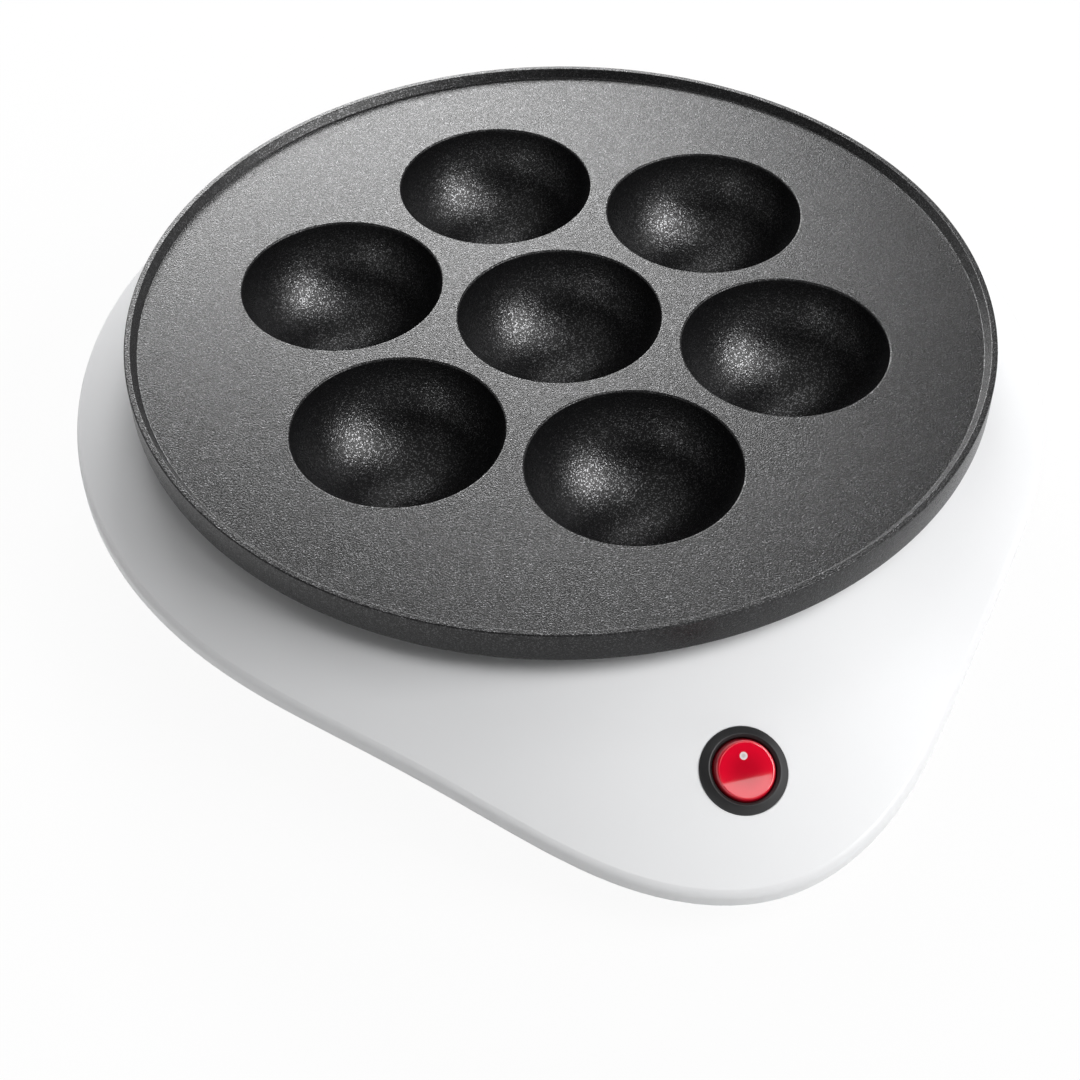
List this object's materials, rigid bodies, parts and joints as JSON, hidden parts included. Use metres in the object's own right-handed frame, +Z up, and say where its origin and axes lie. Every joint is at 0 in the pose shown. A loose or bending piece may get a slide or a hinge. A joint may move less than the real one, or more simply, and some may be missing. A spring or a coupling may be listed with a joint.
{
  "type": "takoyaki maker",
  "caption": "Electric takoyaki maker: round non-stick plate with hemispherical cups over a white body with a rounded nose and a red rocker switch.",
  "frame": {"origin": "on the table under the middle of the body's bounding box", "axes": "+Z up, -Y towards the nose with the switch, +X to the right seen from the nose"},
  "size_m": [0.29, 0.3274, 0.0625],
  "materials": {
    "nonstick_plate": "charcoal non-stick coating with a fine speckle over cast aluminium",
    "sheath_steel": "heat-dulled steel sheath",
    "plated_steel": "zinc-plated steel",
    "ceramic_white": "unglazed white ceramic",
    "reflector_steel": "pressed aluminised steel",
    "silicone_grey": "grey silicone",
    "white_plastic": "satin white moulded plastic",
    "black_plastic": "satin black moulded plastic",
    "red_rocker": "glossy translucent red plastic",
    "brass": "stamped brass",
    "lamp_glass": "clear glass lamp",
    "aluminium_cap": "drawn aluminium",
    "sleeve_glass_fibre": "woven glass-fibre sleeve",
    "black_rubber": "matte black rubber",
    "lead_brown": "brown heat-resistant insulation",
    "lead_blue": "blue heat-resistant insulation",
    "lead_green": "green earth insulation"
  },
  "bodies": {
    "base": {"cooking_plate": "nonstick_plate", "heating_element": "sheath_steel", "element_pins": "plated_steel", "element_bushes": "ceramic_white", "reflector_pan": "reflector_steel", "wire_grommets": "silicone_grey", "plate_spacers": "plated_steel", "plate_bolts": "plated_steel", "upper_housing": "white_plastic", "bottom_cover": "white_plastic", "housing_screws": "plated_steel", "switch_body": "black_plastic", "switch_terminals": "brass", "thermostat_cap": "aluminium_cap", "thermostat_body": "ceramic_white", "thermostat_bracket": "plated_steel", "thermal_fuse": "plated_steel", "fuse_sleeve": "sleeve_glass_fibre", "fuse_clip": "plated_steel", "sensor_screws": "plated_steel", "cord_gland": "black_rubber", "cord_clamp": "black_plastic", "clamp_screws": "plated_steel", "terminal_block": "ceramic_white", "block_screws": "brass", "earth_tab": "plated_steel", "earth_screw": "plated_steel", "wire_live": "lead_brown", "wire_load": "lead_brown", "wire_heater": "lead_brown", "wire_fuse": "lead_blue", "wire_neutral": "lead_blue", "wire_lamp": "lead_blue", "wire_earth": "lead_green", "foot_rear_right": "black_rubber", "foot_rear_left": "black_rubber", "foot_front_left": "black_rubber", "foot_front_right": "black_rubber"},
    "rocker": {"switch_rocker": "red_rocker", "switch_plunger": "brass", "switch_spring": "plated_steel", "neon_lamp": "lamp_glass"},
    "lever": {"contact_lever": "brass"}
  },
  "joints": [
    {"name": "rocker_tilt", "type": "hinge", "parent": "base", "child": "rocker", "pos_m": [0, -0.135, 0.03075], "axis": [-1, 0, 0], "range_deg": [0, 14]},
    {"name": "lever_tilt", "type": "hinge", "parent": "base", "child": "lever", "pos_m": [0, -0.13016, 0.02059], "axis": [-1, 0, 0], "range_deg": [-10, 0]}
  ],
  "couplings": [
    {"joint": "lever_tilt", "follows": "rocker_tilt", "ratio": -0.714}
  ]
}
